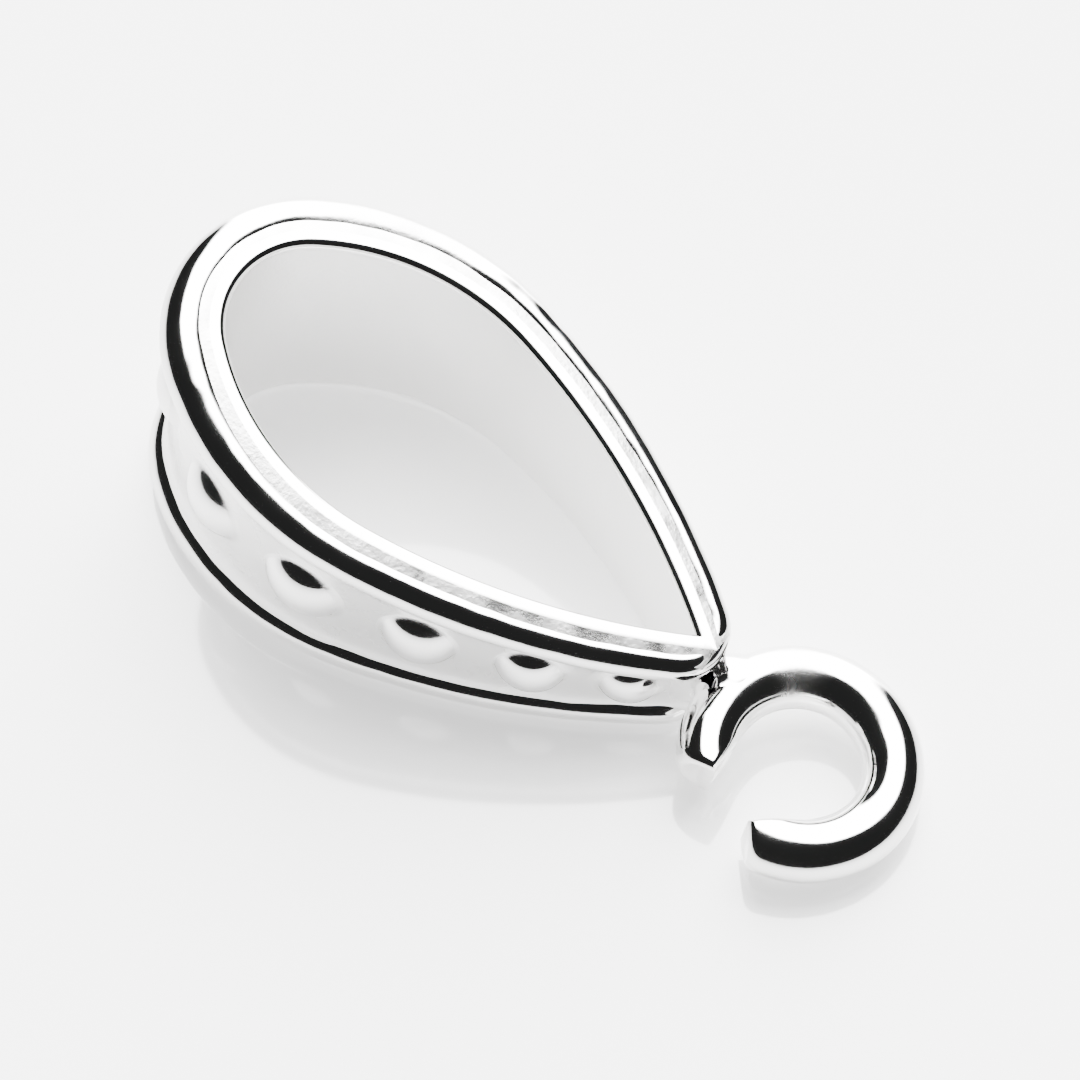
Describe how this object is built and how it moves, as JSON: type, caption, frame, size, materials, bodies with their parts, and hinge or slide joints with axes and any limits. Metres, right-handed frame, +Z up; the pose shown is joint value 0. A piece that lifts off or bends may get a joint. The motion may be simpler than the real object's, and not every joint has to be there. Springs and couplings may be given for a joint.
{
  "type": "bail finding",
  "caption": "Tapered teardrop loop with edge rails and a row of domes, and an open wire ring at its tip; slides on a chain and holds a pendant.",
  "frame": {"origin": "middle of the base of the bounding box, on the surface that the side rail lies on", "axes": "+X along the piece from the bend to the ring, +Y across the teardrop, +Z up, out of the surface that it lies on"},
  "size_m": [0.014, 0.006, 0.0048],
  "materials": {
    "silver": "polished sterling silver"
  },
  "bodies": {
    "root": {"bail": "silver"}
  },
  "joints": []
}
